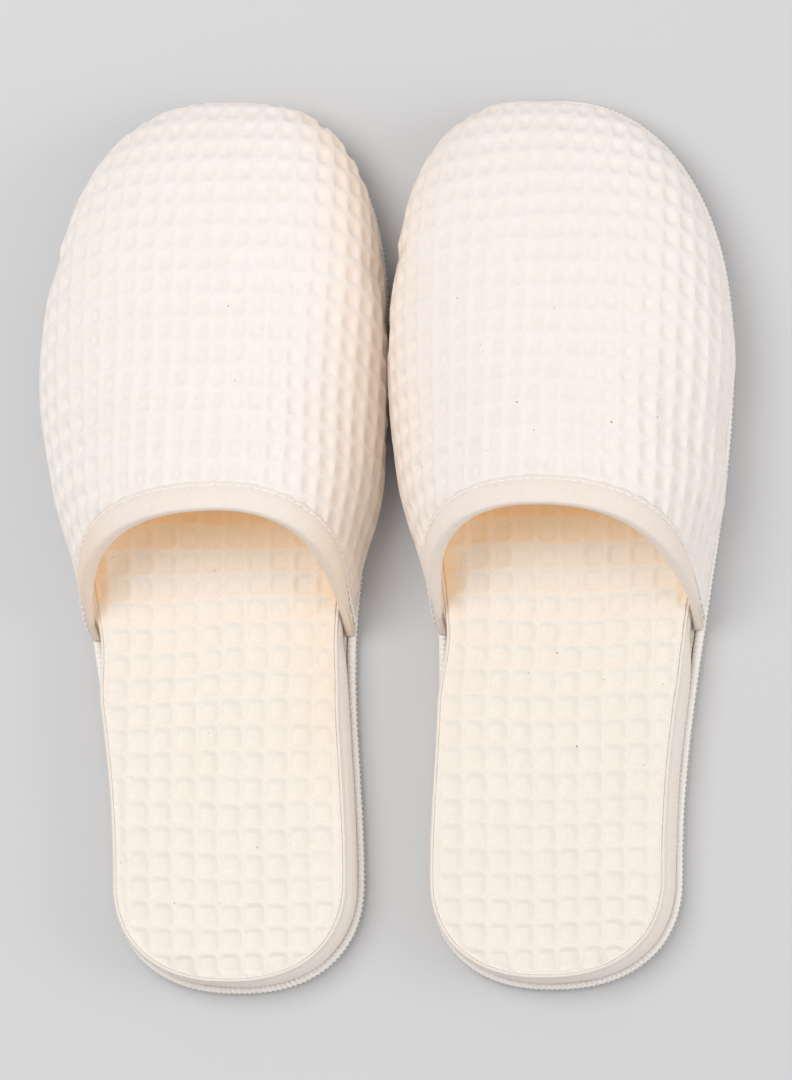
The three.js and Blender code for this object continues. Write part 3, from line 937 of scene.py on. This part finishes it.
def edge_welt(side, seed):
    """The rounded rim of the sole."""
    stations, _ = outline(360)
    uv = outline_at(stations, 0.0)
    fat = 1 + 0.05 * waves(uv[:, 0], uv[:, 1], seed, 20)
    z = OUTSOLE_Z + 0.2 + WELT_R
    section = []
    for t in np.linspace(0, 2 * np.pi, 14, endpoint=False):
        section.append((WELT_R * (1.05 - fat * np.cos(t)), z + WELT_R * fat * np.sin(t)))
    piece = ring_mesh("rim", edge_ring(stations, section), side, MATERIALS["edge_tape"], closed=True)
    return cover_nodes(piece, side, "edge_welt")


def edge_stitch(side):
    """The overlock thread: it slants over the rim's outside and goes back through the layers inside."""
    turns_at, per_turn = 1.7, 12
    around = outline(8)[1]
    turns = round(around / turns_at)
    count = turns * per_turn
    stations, _ = outline(4 * count)
    k = np.arange(count)
    t = (k % per_turn) / per_turn * 2 * np.pi
    slant = 0.55 * np.sin(t)
    at = ((k // per_turn + t / (2 * np.pi) + slant) * per_turn * 4).astype(int) % (4 * count)
    rim_half, rim_high, middle_z = 1.42, 2.3, 3.0
    z = middle_z + rim_high * np.sin(t)
    uv = outline_at(stations[at], 1.47 + rim_half * np.cos(t))
    path = np.column_stack([uv, z])
    rings = thread_tube(np.concatenate([path[-2:], path, path[:2]]), 0.25)[2:-2]
    piece = ring_mesh("rim_overlock", rings, side, MATERIALS["thread"], closed=True)
    return cover_nodes(piece, side, "edge_stitch")


def level_inset(inset):
    """An inset that is the same all along the sole, as plan_grid wants it."""
    return lambda v: np.full(np.shape(v), inset)


def outsole(side):
    """The underside, with rows of round dots that stand out to the floor."""
    u, v, margin = plan_grid(81, 117, level_inset(OUTSOLE_INSET))
    pitch, radius, high = 6.0, 1.7, 0.6
    row = np.round(v / (pitch * 0.866))
    du = np.mod(u + (row % 2) * pitch / 2 + pitch / 2, pitch) - pitch / 2
    dv = v - row * pitch * 0.866
    dot = np.maximum(0, 1 - (du**2 + dv**2) / radius**2) ** 0.5 * (margin > 5)
    low = np.stack([u, v, high * (1 - dot)], -1)
    top = np.stack([u, v, np.full(u.shape, OUTSOLE_Z)], -1)
    points, faces = thick_sheet(low, top, LOW_STEP)
    piece = make_mesh("sole_sheet", points, faces, side, MATERIALS["outsole"])
    return cover_nodes(piece, side, "outsole")


def slipper(side, seed):
    upper_shell(side, seed)
    upper_layer(side, "wadding", "upper_interlining", INTERLINING, "interlining")
    upper_layer(side, "lining_cloth", "upper_lining", LINING, "lining")
    throat_binding(side, seed + 11)
    throat_stitch(side)
    insole_cover(side, seed + 21)
    slab("cushion", "insole_foam", side, "foam", bed_inset, FOAM_LOW, FOAM_TOP)
    slab("board", "midsole_board", side, "board", level_inset(BOARD_INSET), BOARD_LOW, BOARD_TOP)
    side_band(side, seed + 31)
    insole_stitch(side)
    edge_welt(side, seed + 41)
    edge_stitch(side)
    outsole(side)


SEEDS = {"right": 3, "left": 108}
for side, seed in SEEDS.items():
    pad_upper(side)
    pad_footbed(side, seed + 61)
for side, seed in SEEDS.items():
    slipper(side, seed)


# ---- floor, light and camera --------------------------------------------------------------------


def plain(name, colour, rough=0.9):
    mat = bpy.data.materials.new(name)
    mat.use_nodes = True
    shader = mat.node_tree.nodes["Principled BSDF"]
    shader.inputs["Base Color"].default_value = (*colour, 1)
    shader.inputs["Roughness"].default_value = rough
    return mat


def floor():
    bpy.ops.mesh.primitive_plane_add(size=8, location=(0, 0, 0))
    ground = bpy.context.object
    ground.name = "floor"
    ground.data.materials.append(plain("floor", (0.61, 0.61, 0.615)))


def lamp(name, place_at, size, power):
    """A round soft lamp, in metres and watts, that faces the middle of the scene."""
    light = bpy.data.lights.new(name, "AREA")
    light.shape = "DISK"
    light.size = size
    light.energy = power
    holder = bpy.data.objects.new(name, light)
    holder.location = place_at
    holder.rotation_euler = Vector(place_at).to_track_quat("Z", "Y").to_euler()
    bpy.context.scene.collection.objects.link(holder)


def world(strength):
    sky = bpy.data.worlds.new("studio")
    sky.use_nodes = True
    sky.node_tree.nodes["Background"].inputs["Color"].default_value = (1, 1, 1, 1)
    sky.node_tree.nodes["Background"].inputs["Strength"].default_value = strength
    bpy.context.scene.world = sky


def camera():
    """Nearly overhead, leaning to the right and to the heels, with the toes up in the picture."""
    lean_right, lean_heel, distance = math.radians(9), math.radians(7), 3.5
    seen = 0.35  # metres that the picture's longer side takes in
    aim = Vector((0.0008, 0.0010, 0.012))
    back = Vector((math.tan(lean_right), -math.tan(lean_heel), 1)).normalized()
    lens = bpy.data.cameras.new("camera")
    lens.sensor_fit = "AUTO"
    lens.sensor_width = 36
    lens.lens = lens.sensor_width * distance / seen
    holder = bpy.data.objects.new("camera", lens)
    forward = -back
    right = forward.cross(Vector((0, 1, 0))).normalized()
    up = right.cross(forward)
    holder.matrix_world = Matrix((right, up, back)).transposed().to_4x4()
    holder.location = aim + back * distance
    bpy.context.scene.collection.objects.link(holder)
    bpy.context.scene.camera = holder


floor()
world(0.65)
lamp("key", (-0.55, 0.26, 1.4), 1.0, 10.3)
lamp("fill", (3.0, -0.2, 1.3), 2.2, 31.0)
camera()
bpy.context.scene.view_settings.view_transform = "Standard"
